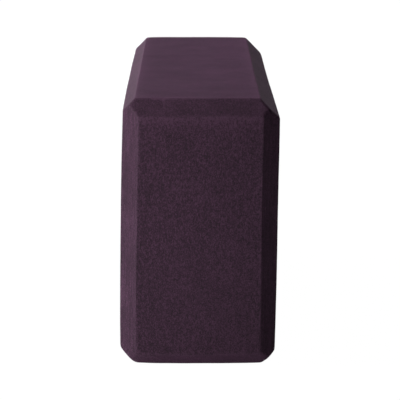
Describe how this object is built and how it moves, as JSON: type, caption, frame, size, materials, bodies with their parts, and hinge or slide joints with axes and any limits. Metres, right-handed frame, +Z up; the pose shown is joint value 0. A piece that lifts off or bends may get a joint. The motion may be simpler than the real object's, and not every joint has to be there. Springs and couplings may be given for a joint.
{
  "type": "foam brick",
  "caption": "Solid brick of firm closed-cell foam with every edge bevelled, of the kind used as a yoga or exercise support; it rests on any face.",
  "frame": {"origin": "centre of the brick's bounding box on the surface that it stands on, with the brick standing on its long narrow side", "axes": "+Z up the height; Y along the length, with -Y out of the front end that faces the viewer; X across the thickness, with +X to the viewer's right"},
  "size_m": [0.066, 0.228, 0.114],
  "materials": {
    "plum_foam": "matte, fine closed-cell foam, dark plum all through"
  },
  "bodies": {
    "root": {"foam_brick": "plum_foam"}
  },
  "joints": []
}
